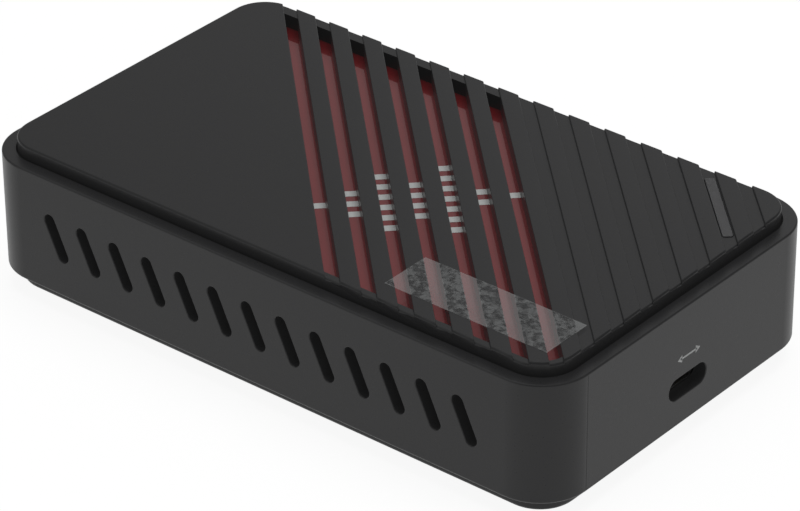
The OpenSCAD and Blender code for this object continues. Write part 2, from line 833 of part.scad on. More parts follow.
module power_coils() {
    color("#4a4a4d") board_row(coil_row_at, coil_count, coil_pitch)
        slab(board_top, board_top + coil_size.y) rounded_rect(coil_size.x, coil_size.x, coil_size.x * 0.2);
}

module regulators() {
    color(chip_black) board_row(regulator_row_at, coil_count, coil_pitch)
        chip(regulator_size.x, regulator_size.y, regulator_size.z);
}

// Can on a square foot
module can_capacitors() {
    color("#a7aaae") board_row(can_row_at, can_count, can_pitch) {
        slab(board_top, board_top + can_foot.y) rounded_rect(can_foot.x, can_foot.x, can_foot.x * 0.1);
        translate([0, 0, board_top + can_size.y]) mirror([0, 0, 1])
            rotate_extrude() rim_head(can_size.x / 2, can_size.y - can_foot.y / 2, can_size.x * 0.08);
    }
}

module timing_crystals() {
    color(metal_grey) at_places(crystal_places)
        slab(board_top, board_top + crystal_size.z)
            rounded_rect(crystal_size.x, crystal_size.y, crystal_size.y * 0.15);
}

module status_lamp() {
    color("#e6e4da") translate(lamp_at) slab(board_top, lamp_top)
        square([lamp_size.x, lamp_size.y], center = true);
}

// A row of small parts along each side of the processor
module small_board_parts() {
    offset_y = processor_size.x / 2 + small_part_gap;
    color("#8a7456") for (turn = [0:90:270], i = [0:small_part_count - 1])
        translate(processor_at) rotate(turn)
            translate([(i - (small_part_count - 1) / 2) * small_part_pitch, offset_y, board_top])
                translate([-small_part.x / 2, -small_part.y / 2, 0]) cube(small_part);
}

body_shell();
top_cover();
accent_panel();
light_pipe();
clear_film();
base_plate();
rubber_feet();
case_screws();
main_board();
board_screws();
data_port_shell();
data_port_insert();
data_port_contacts();
video_in_shell();
video_in_insert();
video_in_contacts();
video_out_shell();
video_out_insert();
video_out_contacts();
capture_processor();
thermal_pad();
heat_sink();
heat_sink_screws();
memory_chips();
video_receiver_chip();
video_driver_chip();
surge_guards();
flash_chip();
data_switch_chip();
power_coils();
regulators();
can_capacitors();
timing_crystals();
status_lamp();
small_board_parts();
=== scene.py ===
"""Looks of a flat desktop video capture box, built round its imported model."""

import math

import bmesh
import bpy
from mathutils import Matrix, Vector


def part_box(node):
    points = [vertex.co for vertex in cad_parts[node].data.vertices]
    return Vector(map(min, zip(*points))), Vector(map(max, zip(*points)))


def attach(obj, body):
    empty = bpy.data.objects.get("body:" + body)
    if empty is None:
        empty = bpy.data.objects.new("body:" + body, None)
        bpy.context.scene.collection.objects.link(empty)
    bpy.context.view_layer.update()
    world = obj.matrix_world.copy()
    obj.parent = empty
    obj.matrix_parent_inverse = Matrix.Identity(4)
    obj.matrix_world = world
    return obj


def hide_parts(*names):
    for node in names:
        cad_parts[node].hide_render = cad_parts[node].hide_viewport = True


bl_info = {
    "name": "Video capture box",
    "version": (1, 0, 0),
    "blender": (4, 5, 0),
    "location": "3D View > Sidebar > Capture Box",
    "description": "Dresses the packed model of a video capture box and sets up its studio",
    "category": "Object",
}

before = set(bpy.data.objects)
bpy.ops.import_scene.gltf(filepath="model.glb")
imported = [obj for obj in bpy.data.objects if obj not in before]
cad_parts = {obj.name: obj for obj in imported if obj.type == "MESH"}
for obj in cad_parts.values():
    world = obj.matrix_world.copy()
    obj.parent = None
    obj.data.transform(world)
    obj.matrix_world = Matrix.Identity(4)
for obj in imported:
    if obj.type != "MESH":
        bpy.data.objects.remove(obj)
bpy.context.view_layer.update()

MM = 0.001
CASE_LOW, CASE_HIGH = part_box("body_shell")
COVER_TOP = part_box("top_cover")[1].z
PANEL_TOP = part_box("accent_panel")[1].z
PIPE_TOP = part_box("light_pipe")[1].z
FILM_LOW, FILM_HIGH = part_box("clear_film")
DATA_PORT_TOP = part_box("data_port_shell")[1].z
# Points closer than this are one point of a CAD mesh
WELD = 0.002 * MM
# Decimals of a length in metres, down to a micrometre
MICRON = 6
# Faces that meet at less than this angle are one flat face
FLAT_ANGLE = math.radians(0.3)
# Edges that turn more than this are rounded where they are wanted
SHARP_ANGLE = math.radians(40)
# Edges that turn more than this stay sharp in the shading
SMOOTH_ANGLE = math.radians(50)
# A face whose normal leans more than this along each axis is on a rounded corner
CORNER_TILT = 0.01
# Steps across a rounded edge
ROUND_STEPS = 2
# The mouths of the vents and ports are further than this from the rims of the walls
RIM_CLEARANCE = 2 * MM
# The ribs run at this angle across the cover
RIB_TURN = Matrix.Rotation(math.radians(45), 4, "Z")
ACROSS_RIBS = RIB_TURN.col[0].to_3d()
# Most values of a grain's noise lie in this range
NOISE_RANGE = (0.3, 0.7)
# Share by which a tinted finish gets darker and paler
TINT = 0.1


def linear(code):
    """Linear colour of an sRGB hex code."""
    parts = [int(code[i:i + 2], 16) / 255 for i in (1, 3, 5)]
    return [p / 12.92 if p <= 0.04045 else ((p + 0.055) / 1.055) ** 2.4 for p in parts] + [1]


WHITE = linear("#ffffff")


def colour(name, description, code):
    """Colour property with an sRGB hex code as its default."""
    return bpy.props.FloatVectorProperty(
        name=name, description=description, subtype="COLOR", size=4, min=0, max=1, default=linear(code))


def length(name, description, millimetres):
    """Length property, its default given in millimetres."""
    return bpy.props.FloatProperty(
        name=name, description=description, unit="LENGTH", precision=5, default=millimetres * MM)


def angle(name, description, degrees):
    """Angle property, its default given in degrees."""
    return bpy.props.FloatProperty(
        name=name, description=description, subtype="ANGLE", default=math.radians(degrees))


def level(name, description, value):
    """Property for a brightness or a share of one."""
    return bpy.props.FloatProperty(name=name, description=description, precision=4, default=value)


class CaseSettings(bpy.types.PropertyGroup):
    """Walls, cover and base"""

    wall_colour: colour("Walls", "Colour of the walls and of the base", "#222223")
    cover_colour: colour("Cover", "Colour of the ribbed cover", "#1a1a1b")
    # Painted glow: an even emission on the black plastic that lifts its dark recesses, standing for the white
    # paper's glare
    haze: level("Haze", "Glow that stands for the haze of white paper over black recesses", 0.005)
    mouth_round: length("Mouths", "Rounding at the mouths of the vents and ports", 0.2)
    rib_round: length("Ribs", "Rounding of the ribs' shoulders", 0.12)
    rib_run: length("Rib run", "How far the rounded shoulders run down over the cover's edge", 0.34)
    corner_radius: length("Corner radius", "Radius of the upright corners", 8.5)
    parting_width: length("Parting line width", "Width of the mould's parting line at the corner", 0.18)
    parting_depth: length("Parting line depth", "Depth of the mould's parting line at the corner", 0.06)


class PanelSettings(bpy.types.PropertyGroup):
    """Panel under the slots, its print, and the film on the ribs"""

    panel_colour: colour("Panel", "Colour of the glossy panel", "#871a1f")
    # Painted glow: an even emission on the panel, standing for the white paper's glare over it
    panel_painted_glow: level("Panel haze", "Glow that stands for the haze of white paper over the panel", 0.0042)
    ink_colour: colour("Ink", "Colour of the print on the panel and by the data port", "#c4c6c5")
    rib_pitch: length("Rib pitch", "Distance between neighbouring slots, square to the ribs", 4.97)
    slot_width: length("Slot width", "Width of a slot, square to the ribs", 2.12)
    first_slot: length("First slot", "Distance of the first slot from the corner by the light pipe", 76.2)
    bar_length: length("Bar length", "Length of a printed bar along the slots", 1.6)
    bar_step: length("Bar step", "Distance between neighbouring bars along the slots", 3.1)
    bar_width: length("Bar width", "Width of a printed bar across the slots", 3.2)
    print_shift: length("Print shift", "Distance of the print from the middle of the slots", -5.4)
    ink_thickness: length("Ink thickness", "Thickness of the printed layer", 0.02)


class StageSettings(bpy.types.PropertyGroup):
    """Camera, floor and studio light"""

    azimuth: angle("Azimuth", "Turn of the camera round the box", 39.726)
    elevation: angle("Elevation", "Height angle of the camera", 31.157)
    roll: angle("Roll", "Turn of the camera about its own axis", -0.377)
    distance: length("Distance", "Distance of the camera from its target", 639.36)
    target_x: length("Target X", "Point that the camera looks at, along the case", 4.538)
    target_y: length("Target Y", "Point that the camera looks at, across the case", -4.027)
    target_z: length("Target Z", "Point that the camera looks at, above the floor", 14.1)
    lens: bpy.props.FloatProperty(
        name="Lens", description="Focal length of the camera", unit="CAMERA", default=187.68)
    floor_colour: colour("Floor", "Colour of the floor's glow", "#ffffff")
    paper_colour: colour("Paper", "Colour of the floor's paper, which takes the shadow", "#e4e4e4")
    floor_white: level("Floor white", "Brightness of the floor as the camera sees it", 1.08)
    floor_gloss: level("Floor gloss", "Brightness of the floor as the box reflects it", 0.76)
    lamp_power: bpy.props.FloatProperty(
        name="Lamp power", description="Power of the overhead lamp", unit="POWER", default=7.6)
    room_low: level("Room low", "Brightness of the room near the floor", 0.56)
    room_high: level("Room high", "Brightness of the dim band half way up the room", 0.28)
    room_top: level("Room top", "Brightness that is added overhead", 0.3)
    room_left: level("Room left", "Share of the room's brightness that its left side has", 0.52)
    room_right: level("Room right", "Share of the room's brightness that its right side has", 1.15)
    room_end: level("Room end", "Share of that brightness beyond the end with the data port", 0.36)


class CaptureBoxSettings(bpy.types.PropertyGroup):
    """Sizes and colours of the box and its studio"""

    case: bpy.props.PointerProperty(type=CaseSettings, name="Case", description="Walls, cover and base")
    panel: bpy.props.PointerProperty(type=PanelSettings, name="Panel", description="Panel, print and film")
    stage: bpy.props.PointerProperty(type=StageSettings, name="Stage", description="Camera, floor and light")


def add_node(material, kind, values=None, links=None, **settings):
    """Adds a node with its settings, the values of its inputs and the outputs that feed them."""
    tree = material.node_tree
    node = tree.nodes.new(kind)
    for name, value in settings.items():
        setattr(node, name, value)
    for socket, value in (values or {}).items():
        node.inputs[socket].default_value = value
    for socket, source in (links or {}).items():
        tree.links.new(source, node.inputs[socket])
    return node


def new_material(name, values):
    """Material with one shader, whose constant values are set on its own sockets."""
    material = bpy.data.materials.new(name)
    material.use_nodes = True
    shader = material.node_tree.nodes["Principled BSDF"]
    for socket, value in values.items():
        shader.inputs[socket].default_value = value
    return material, shader


def add_grain(material, shader, grain, depth, rough):
    """Fine grain of a moulded, blasted or cast surface: a bump, and a gloss that varies with it.

    grain is the grain's width and depth its height, in millimetres, and rough the range of the roughness.
    Returns the coordinates, for other patterns of the same finish.
    """
    links = material.node_tree.links
    place = add_node(material, "ShaderNodeTexCoord")
    noise = add_node(
        material, "ShaderNodeTexNoise", {"Scale": 1 / (grain * MM), "Detail": 3, "Roughness": 0.6},
        {"Vector": place.outputs["Object"]})
    gloss = add_node(
        material, "ShaderNodeMapRange", {
            "From Min": NOISE_RANGE[0], "From Max": NOISE_RANGE[1], "To Min": rough[0], "To Max": rough[1]},
        {"Value": noise.outputs["Fac"]})
    bump = add_node(
        material, "ShaderNodeBump", {"Strength": 1, "Distance": depth * MM}, {"Height": noise.outputs["Fac"]})
    links.new(gloss.outputs["Result"], shader.inputs["Roughness"])
    links.new(bump.outputs["Normal"], shader.inputs["Normal"])
    return place


def shade(base, factor):
    """Linear colour made darker or paler by a factor."""
    return [part * factor for part in base[:3]] + [1]


def add_tint(material, shader, place, base, size):
    """Slow change of a colour, over patches of the given size in millimetres."""
    patches = add_node(
        material, "ShaderNodeTexNoise", {"Scale": 1 / (size * MM), "Detail": 2},
        {"Vector": place.outputs["Object"]})
    mix = add_node(
        material, "ShaderNodeMix", {"A": shade(base, 1 - TINT), "B": shade(base, 1 + TINT)},
        {"Factor": patches.outputs["Fac"]}, data_type="RGBA")
    material.node_tree.links.new(mix.outputs["Result"], shader.inputs["Base Color"])


def merged_copy(node):
    """Copy of a CAD node's mesh, its triangles joined and its flat faces made whole.

    The CAD mesh has fans of thin triangles where a rounded edge turns a corner. They shade unevenly until
    their edges are turned.
    """
    bm = bmesh.new()
    bm.from_mesh(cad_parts[node].data)
    bmesh.ops.remove_doubles(bm, verts=bm.verts, dist=WELD)
    rounded = {face for face in bm.faces if min(abs(part) for part in face.normal) > CORNER_TILT}
    turned = [edge for edge in bm.edges if edge.is_manifold and rounded.issuperset(edge.link_faces)]
    bmesh.ops.beautify_fill(bm, faces=list(rounded), edges=turned, method="ANGLE")
    bmesh.ops.dissolve_limit(bm, angle_limit=FLAT_ANGLE, verts=bm.verts, edges=bm.edges, delimit={"NORMAL"})
    return bm


def sharp_edges(bm, wanted):
    """Sharp convex edges that are wanted, as told by their two ends."""
    return [
        edge for edge in bm.edges
        if edge.is_manifold and edge.is_convex and edge.calc_face_angle() > SHARP_ANGLE
        and wanted(*[vert.co for vert in edge.verts])
    ]


def edge_loops(edges):
    """Sorts edges into loops, each a set of the vertices that it runs through."""
    left = set(edges)
    loops = []
    while left:
        queue = [left.pop()]
        loop = set()
        while queue:
            edge = queue.pop()
            loop.update(edge.verts)
            for vert in edge.verts:
                near = left.intersection(vert.link_edges)
                left -= near
                queue.extend(near)
        loops.append(loop)
    return loops


def round_edges(bm, edges, radius):
    """Rounds edges to a radius."""
    bmesh.ops.bevel(
        bm, geom=edges, offset=radius, offset_type="OFFSET", affect="EDGES", segments=ROUND_STEPS,
        profile=0.5, material=-1, clamp_overlap=False, loop_slide=True)


def add_piece(bm, name, material, replaces=None):
    """Turns a bmesh into a piece of the box, with smooth shading between its sharp edges."""
    mesh = bpy.data.meshes.new(name)
    bm.to_mesh(mesh)
    bm.free()
    if "custom_normal" in mesh.attributes:
        mesh.attributes.remove(mesh.attributes["custom_normal"])
    mesh.shade_smooth()
    mesh.set_sharp_from_angle(angle=SMOOTH_ANGLE)
    mesh.materials.clear()
    mesh.materials.append(material)
    piece = bpy.data.objects.new(name, mesh)
    bpy.context.scene.collection.objects.link(piece)
    piece.modifiers.new("flat faces", "WEIGHTED_NORMAL").keep_sharp = True
    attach(piece, "root")
    if replaces:
        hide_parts(replaces)


def dress(material, *nodes):
    """Gives CAD nodes their finish."""
    for node in nodes:
        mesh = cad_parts[node].data
        mesh.materials.clear()
        mesh.materials.append(material)


def moulded_abs(name, base, haze):
    """Black ABS from a spark-eroded mould: an even, fine grain that breaks its gloss into a soft sheen."""
    # The emission is a painted glow, even over the plastic, standing for the white paper's glare over its
    # black recesses
    material, shader = new_material(name, {
        "Base Color": base, "IOR": 1.53, "Specular IOR Level": 0.36,
        "Emission Color": WHITE, "Emission Strength": haze})
    # The real grain is about 0.05 mm wide; it is drawn coarser so that it shows
    add_grain(material, shader, grain=0.3, depth=0.006, rough=(0.27, 0.34))
    return material


class CAPTURE_BOX_OT_case_walls(bpy.types.Operator):
    """Walls of the case, with rounded vent mouths and the mould's parting line"""

    bl_idname = "capture_box.case_walls"
    bl_label = "Case walls"

    def execute(self, context):
        case = context.scene.capture_box.case
        bm = merged_copy("body_shell")
        for normal in (Vector((1, 0, 0)), Vector((-1, 0, 0)), Vector((0, 1, 0)), Vector((0, -1, 0))):
            self.clear_wall(bm, normal)
        round_edges(bm, sharp_edges(bm, self.at_mouth), case.mouth_round)
        self.cut_parting_line(bm, case)
        material = moulded_abs("spark_eroded_abs", case.wall_colour, case.haze)
        add_piece(bm, "case_walls", material, "body_shell")
        return {"FINISHED"}

    @staticmethod
    def at_mouth(*ends):
        """Whether an edge lies on the outer face of a wall, clear of the rims."""
        return all(
            CASE_LOW.z + RIM_CLEARANCE < end.z < CASE_HIGH.z - RIM_CLEARANCE
            and (abs(end.y) > CASE_HIGH.y - WELD or abs(end.x) > CASE_HIGH.x - WELD)
            for end in ends)

    def clear_wall(self, bm, normal):
        """Makes a wall's outer face whole, but for one cut from rim to rim through each mouth.

        A face can't have a hole. Edges left by the CAD mesh between the mouths would pull their rounding
        out of shape, and a cut through a mouth's top and bottom doesn't.
        """
        reach = max(vert.co.dot(normal) for vert in bm.verts)

        def on_wall(item):
            return all(abs(vert.co.dot(normal) - reach) < WELD for vert in item.verts)

        cuts = set()
        for loop in edge_loops(edge for edge in sharp_edges(bm, self.at_mouth) if on_wall(edge)):
            top = max(loop, key=lambda vert: (round(vert.co.z, MICRON), vert.co.x + vert.co.y)).co
            low = min(loop, key=lambda vert: (round(vert.co.z, MICRON), -vert.co.x - vert.co.y)).co
            faces = [face for face in bm.faces if on_wall(face)]
            edges = {edge for face in faces for edge in face.edges}
            verts = {vert for face in faces for vert in face.verts}
            cut = bmesh.ops.bisect_plane(
                bm, geom=faces + list(edges) + list(verts), dist=WELD, plane_co=low,
                plane_no=normal.cross(top - low))
            cuts.update(item for item in cut["geom_cut"] if isinstance(item, bmesh.types.BMEdge))
        spare = [
            edge for edge in bm.edges
            if edge not in cuts and edge.is_manifold and all(on_wall(face) for face in edge.link_faces)
        ]
        bmesh.ops.dissolve_edges(bm, edges=spare, use_verts=False, use_face_split=False)

    @staticmethod
    def cut_parting_line(bm, case):
        """Hairline groove where the corner runs into the end wall."""
        tangent_y = CASE_LOW.y + case.corner_radius

        def on_line(vert):
            return abs(vert.co.x - CASE_HIGH.x) < WELD and abs(vert.co.y - tangent_y) < WELD

        line = [edge for edge in bm.edges if all(on_line(vert) for vert in edge.verts)]
        if not line:
            raise RuntimeError("No edge where the corner runs into the end wall")
        round_edges(bm, line, case.parting_width / 2)
        for vert in bm.verts:
            if on_line(vert):
                vert.co.x -= case.parting_depth


class CAPTURE_BOX_OT_ribbed_cover(bpy.types.Operator):
    """Ribbed and slotted cover, with rounded shoulders on its ribs"""

    bl_idname = "capture_box.ribbed_cover"
    bl_label = "Ribbed cover"

    def execute(self, context):
        case = context.scene.capture_box.case
        bm = merged_copy("top_cover")

        def on_shoulder(*ends):
            low, high = sorted(end.z for end in ends)
            runs_down = high - low > WELD
            return low > COVER_TOP - (case.rib_run if runs_down else WELD)

        round_edges(bm, sharp_edges(bm, on_shoulder), case.rib_round)
        material = moulded_abs("spark_eroded_cover_abs", case.cover_colour, case.haze)
        add_piece(bm, "ribbed_cover", material, "top_cover")
        return {"FINISHED"}


def first_slot(panel):
    """Place of the first slot's edge across the ribs."""
    return CASE_HIGH.dot(ACROSS_RIBS) - panel.first_slot


class CAPTURE_BOX_OT_accent_panel(bpy.types.Operator):
    """Glossy panel under the slots, and the level bars printed on it"""

    bl_idname = "capture_box.accent_panel"
    bl_label = "Accent panel"
    # Printed bars that show in each slot, from the first slot on
    bar_counts = (1, 3, 6, 4, 7, 2, 1)
    # Size of the paler and darker patches of the lacquer, in millimetres
    patch_size = 9

    def execute(self, context):
        panel = context.scene.capture_box.panel
        # Red metal flake under clear lacquer: a deep colour that shifts with the view, and a sharp gloss. Its
        # faint even emission is a painted glow for the white paper's glare.
        lacquer, shader = new_material("red_flake_lacquer", {
            "Metallic": 0.6, "IOR": 1.5, "Coat Weight": 1, "Coat Roughness": 0.03, "Coat IOR": 1.46,
            "Emission Color": WHITE, "Emission Strength": panel.panel_painted_glow})
        place = add_grain(lacquer, shader, grain=0.12, depth=0.002, rough=(0.28, 0.36))
        add_tint(lacquer, shader, place, panel.panel_colour, self.patch_size)
        dress(lacquer, "accent_panel")

        # Screen ink: dead matte and a little uneven
        ink, shader = new_material("screen_ink", {"Base Color": panel.ink_colour})
        add_grain(ink, shader, grain=0.4, depth=0.003, rough=(0.55, 0.7))
        bm = bmesh.new()
        first = first_slot(panel) + panel.slot_width / 2
        for slot, count in enumerate(self.bar_counts):
            for bar in range(count):
                along = panel.print_shift + (bar - (count - 1) / 2) * panel.bar_step
                across = first + slot * panel.rib_pitch
                spot = Matrix.Translation((across, along, PANEL_TOP + panel.ink_thickness / 2))
                scale = Matrix.Diagonal((panel.bar_width, panel.bar_length, panel.ink_thickness, 1))
                bmesh.ops.create_cube(bm, size=1, matrix=RIB_TURN @ spot @ scale)
        add_piece(bm, "panel_print", ink)
        return {"FINISHED"}


class CAPTURE_BOX_OT_light_pipe(bpy.types.Operator):
    """Frosted bar that shows the status lamp's light"""

    bl_idname = "capture_box.light_pipe"
    bl_label = "Light pipe"
    # Rounding of the bar's top edges, and how far light spreads inside it
    bar_round = 0.12 * MM
    light_spread = 0.6 * MM

    @staticmethod
    def on_top(*ends):
        """Whether an edge lies round the bar's top."""
        return all(end.z > PIPE_TOP - WELD for end in ends)

    def execute(self, context):
        # Frosted polycarbonate: cloudy grey, with a dull skin
        frosted, shader = new_material("frosted_polycarbonate", {
            "Base Color": linear("#444445"), "IOR": 1.58, "Subsurface Weight": 0.3,
            "Subsurface Radius": [self.light_spread] * 3, "Subsurface Scale": 1})
        add_grain(frosted, shader, grain=0.3, depth=0.004, rough=(0.4, 0.55))
        bm = merged_copy("light_pipe")
        round_edges(bm, sharp_edges(bm, self.on_top), self.bar_round)
        add_piece(bm, "light_pipe_bar", frosted, "light_pipe")
        return {"FINISHED"}


class CAPTURE_BOX_OT_clear_film(bpy.types.Operator):
    """Frosted film stuck on the ribs, clearer where it clings to them"""

    bl_idname = "capture_box.clear_film"
    bl_label = "Clear film"
    # How much white each part of the film adds, on the ribs from a clear patch to a cloudy one
    rib_haze = (0.025, 0.21)
    slot_haze = 0.14
    # The white added along the cut border is a painted highlight
    painted_edge_highlight = 0.03
    border_width = 0.15 * MM
    # Size of the patches, and the values of their noise between which clear turns to cloudy
    patch_size = 1.2 * MM
    patch_range = (0.42, 0.58)

    def execute(self, context):
        panel = context.scene.capture_box.panel
        # Frosted polyester: a white haze, even over the slots and patchy where the glue wets the ribs
        film, shader = new_material(
            "frosted_polyester_film", {"Base Color": linear("#bcbebe"), "IOR": 1.5, "Roughness": 0.5})
        place = add_node(film, "ShaderNodeTexCoord")
        patches = add_node(
            film, "ShaderNodeTexNoise", {"Scale": 1 / self.patch_size, "Detail": 4, "Roughness": 0.7},
            {"Vector": place.outputs["Object"]})
        on_ribs = add_node(
            film, "ShaderNodeMapRange", {
                "From Min": self.patch_range[0], "From Max": self.patch_range[1],
                "To Min": self.rib_haze[0], "To Max": self.rib_haze[1]},
            {"Value": patches.outputs["Fac"]})
        # Counted in steps of the pitch across the ribs, the first part of each step lies over a slot
        steps = add_node(
            film, "ShaderNodeVectorMath", {1: ACROSS_RIBS / panel.rib_pitch}, {0: place.outputs["Object"]},
            operation="DOT_PRODUCT")
        shifted = add_node(
            film, "ShaderNodeMath", {1: first_slot(panel) / panel.rib_pitch}, {0: steps.outputs["Value"]},
            operation="SUBTRACT")
        step = add_node(film, "ShaderNodeMath", links={0: shifted.outputs[0]}, operation="FRACT")
        over_slot = add_node(
            film, "ShaderNodeMath", {1: panel.slot_width / panel.rib_pitch}, {0: step.outputs[0]},
            operation="LESS_THAN")
        haze = add_node(
            film, "ShaderNodeMix", {"B": self.slot_haze},
            {"Factor": over_slot.outputs[0], "A": on_ribs.outputs["Result"]})
        # Along the cut border the film is painted whiter, a painted highlight where its edge catches the
        # light
        middle = (FILM_LOW + FILM_HIGH) / 2
        half = (FILM_HIGH - FILM_LOW) / 2
        offset = add_node(
            film, "ShaderNodeVectorMath", {1: middle}, {0: place.outputs["Object"]}, operation="SUBTRACT")
        folded = add_node(film, "ShaderNodeVectorMath", links={0: offset.outputs[0]}, operation="ABSOLUTE")
        inward = add_node(
            film, "ShaderNodeVectorMath", {1: half}, {0: folded.outputs[0]}, operation="SUBTRACT")
        sides = add_node(film, "ShaderNodeSeparateXYZ", links={"Vector": inward.outputs[0]})
        nearest = add_node(
            film, "ShaderNodeMath", links={0: sides.outputs["X"], 1: sides.outputs["Y"]}, operation="MAXIMUM")
        border = add_node(
            film, "ShaderNodeMath", {1: -self.border_width}, {0: nearest.outputs[0]},
            operation="GREATER_THAN")
        alpha = add_node(
            film, "ShaderNodeMath", {1: self.painted_edge_highlight}, {0: border.outputs[0], 2: haze.outputs["Result"]},
            operation="MULTIPLY_ADD")
        film.node_tree.links.new(alpha.outputs[0], shader.inputs["Alpha"])
        dress(film, "clear_film")
        return {"FINISHED"}


class CAPTURE_BOX_OT_base_and_feet(bpy.types.Operator):
    """Base with its vents, and the rubber feet"""

    bl_idname = "capture_box.base_and_feet"
    bl_label = "Base and feet"

    def execute(self, context):
        case = context.scene.capture_box.case
        material = moulded_abs("spark_eroded_base_abs", case.wall_colour, case.haze)
        dress(material, "base_plate")
        # Nitrile rubber: a dry, dull black
        rubber, shader = new_material("nitrile_rubber", {"Base Color": linear("#1c1c1d")})
        add_grain(rubber, shader, grain=0.25, depth=0.01, rough=(0.75, 0.9))
        dress(rubber, "rubber_feet")
        return {"FINISHED"}


class CAPTURE_BOX_OT_screws(bpy.types.Operator):
    """Case, board and heat sink screws"""

    bl_idname = "capture_box.screws"
    bl_label = "Screws"

    def execute(self, context):
        # Zinc-plated steel: pale metal with a faint cloudiness
        zinc, shader = new_material("zinc_plated_steel", {"Base Color": linear("#aeb1b5"), "Metallic": 1})
        add_grain(zinc, shader, grain=0.2, depth=0.002, rough=(0.3, 0.45))
        dress(zinc, "case_screws", "board_screws", "heat_sink_screws")
        return {"FINISHED"}


class CAPTURE_BOX_OT_ports(bpy.types.Operator):
    """Shells, inserts and contacts of the data port and the video ports"""

    bl_idname = "capture_box.ports"
    bl_label = "Ports"
    groups = ("data_port", "video_in", "video_out")

    def execute(self, context):
        # Nickel-plated steel: bright, with a fine satin grain
        nickel, shader = new_material("nickel_plated_steel", {"Base Color": linear("#b4b4b2"), "Metallic": 1})
        add_grain(nickel, shader, grain=0.25, depth=0.002, rough=(0.25, 0.38))
        # Glass-filled nylon: black with a dry, slightly pitted skin, and the case's faint painted glow
        # standing for the white paper's glare
        nylon, shader = new_material("glass_filled_nylon", {
            "Base Color": linear("#161617"), "IOR": 1.53, "Emission Color": WHITE,
            "Emission Strength": context.scene.capture_box.case.haze})
        add_grain(nylon, shader, grain=0.2, depth=0.004, rough=(0.45, 0.6))
        # Gold flash on copper: a warm metal with a soft gloss
        gold, shader = new_material("gold_plated_copper", {"Base Color": linear("#d8ab5a"), "Metallic": 1})
        add_grain(gold, shader, grain=0.15, depth=0.001, rough=(0.22, 0.32))
        for group in self.groups:
            dress(nickel, group + "_shell")
            dress(nylon, group + "_insert")
            dress(gold, group + "_contacts")
        return {"FINISHED"}


class CAPTURE_BOX_OT_board(bpy.types.Operator):
    """Board, chips, heat sink and the other electronics"""

    bl_idname = "capture_box.board"
    bl_label = "Board"
    # Name, colour, metallic, grain in millimetres, range of roughness, and the nodes that wear it
    finishes = (
        # Solder mask over glass laminate: a satin, slightly uneven green
        ("solder_mask_laminate", "#17301f", 0, 0.6, (0.3, 0.42), ("main_board",)),
        # Moulded epoxy: black with a fine, even matte
        ("moulded_epoxy", "#1a1a1b", 0, 0.15, (0.5, 0.65), (
            "capture_processor", "memory_chips", "video_receiver_chip", "video_driver_chip", "surge_guards",
            "flash_chip", "data_switch_chip", "regulators")),
        # Filled silicone: a soft, dull blue grey
        ("filled_silicone", "#8d97a8", 0, 0.3, (0.7, 0.85), ("thermal_pad",)),
        # Extruded aluminium: pale metal, blasted dull
        ("extruded_aluminium", "#a2a6ab", 1, 0.2, (0.38, 0.5), ("heat_sink",)),
        # Pressed ferrite: dark grey and gritty
        ("pressed_ferrite", "#4a4a4d", 0, 0.2, (0.55, 0.75), ("power_coils",)),
        # Drawn aluminium can: bright, with a soft gloss
        ("drawn_aluminium", "#b5b8bc", 1, 0.25, (0.25, 0.35), ("can_capacitors",)),
        # Nickel silver can: a grey, smooth metal
        ("nickel_silver", "#b9b7b0", 1, 0.25, (0.25, 0.35), ("timing_crystals",)),
        # Clear resin in a white cup: milky and glossy
        ("milky_resin", "#e6e4da", 0, 0.4, (0.15, 0.25), ("status_lamp",)),
        # Fired ceramic: tan and dry
        ("fired_ceramic", "#8a7456", 0, 0.15, (0.5, 0.65), ("small_board_parts",)),
    )
    # Depth of each grain, and size of the paler and darker patches, in millimetres
    grain_depth = 0.003
    patch_size = 3

    def execute(self, context):
        for name, code, metallic, grain, rough, nodes in self.finishes:
            material, shader = new_material(name, {"Metallic": metallic})
            place = add_grain(material, shader, grain, self.grain_depth, rough)
            add_tint(material, shader, place, linear(code), self.patch_size)
            dress(material, *nodes)
        return {"FINISHED"}


class CAPTURE_BOX_OT_port_mark(bpy.types.Operator):
    """Two-way arrow printed above the data port"""

    bl_idname = "capture_box.port_mark"
    bl_label = "Port mark"
    # Width of the arrow, height of its shaft, radius of its heads, and how far it is above the port's shell
    mark_width = 5.6 * MM
    stroke = 0.3 * MM
    head = 0.75 * MM
    lift = 3.3 * MM

    def execute(self, context):
        panel = context.scene.capture_box.panel
        # Pad-printed ink: matte, with a faint grain
        ink, shader = new_material("port_ink", {"Base Color": panel.ink_colour})
        add_grain(ink, shader, grain=0.3, depth=0.002, rough=(0.55, 0.7))
        thickness = panel.ink_thickness
        middle = Vector((CASE_HIGH.x + thickness / 2, 0, DATA_PORT_TOP + self.lift))
        bm = bmesh.new()
        shaft = Matrix.Diagonal((thickness, self.mark_width - 2 * self.head, self.stroke, 1))
        bmesh.ops.create_cube(bm, size=1, matrix=Matrix.Translation(middle) @ shaft)
        upright = Matrix.Rotation(math.radians(90), 4, "Y")
        for side in (-1, 1):
            spot = middle + Vector((0, side * (self.mark_width / 2 - self.head), 0))
            turn = upright @ Matrix.Rotation(math.radians(90 - side * 90), 4, "Z")
            # A three-sided cone with equal ends is a flat triangle
            bmesh.ops.create_cone(
                bm, cap_ends=True, segments=3, radius1=self.head, radius2=self.head, depth=thickness,
                matrix=Matrix.Translation(spot) @ turn)
        add_piece(bm, "port_mark", ink)
        return {"FINISHED"}


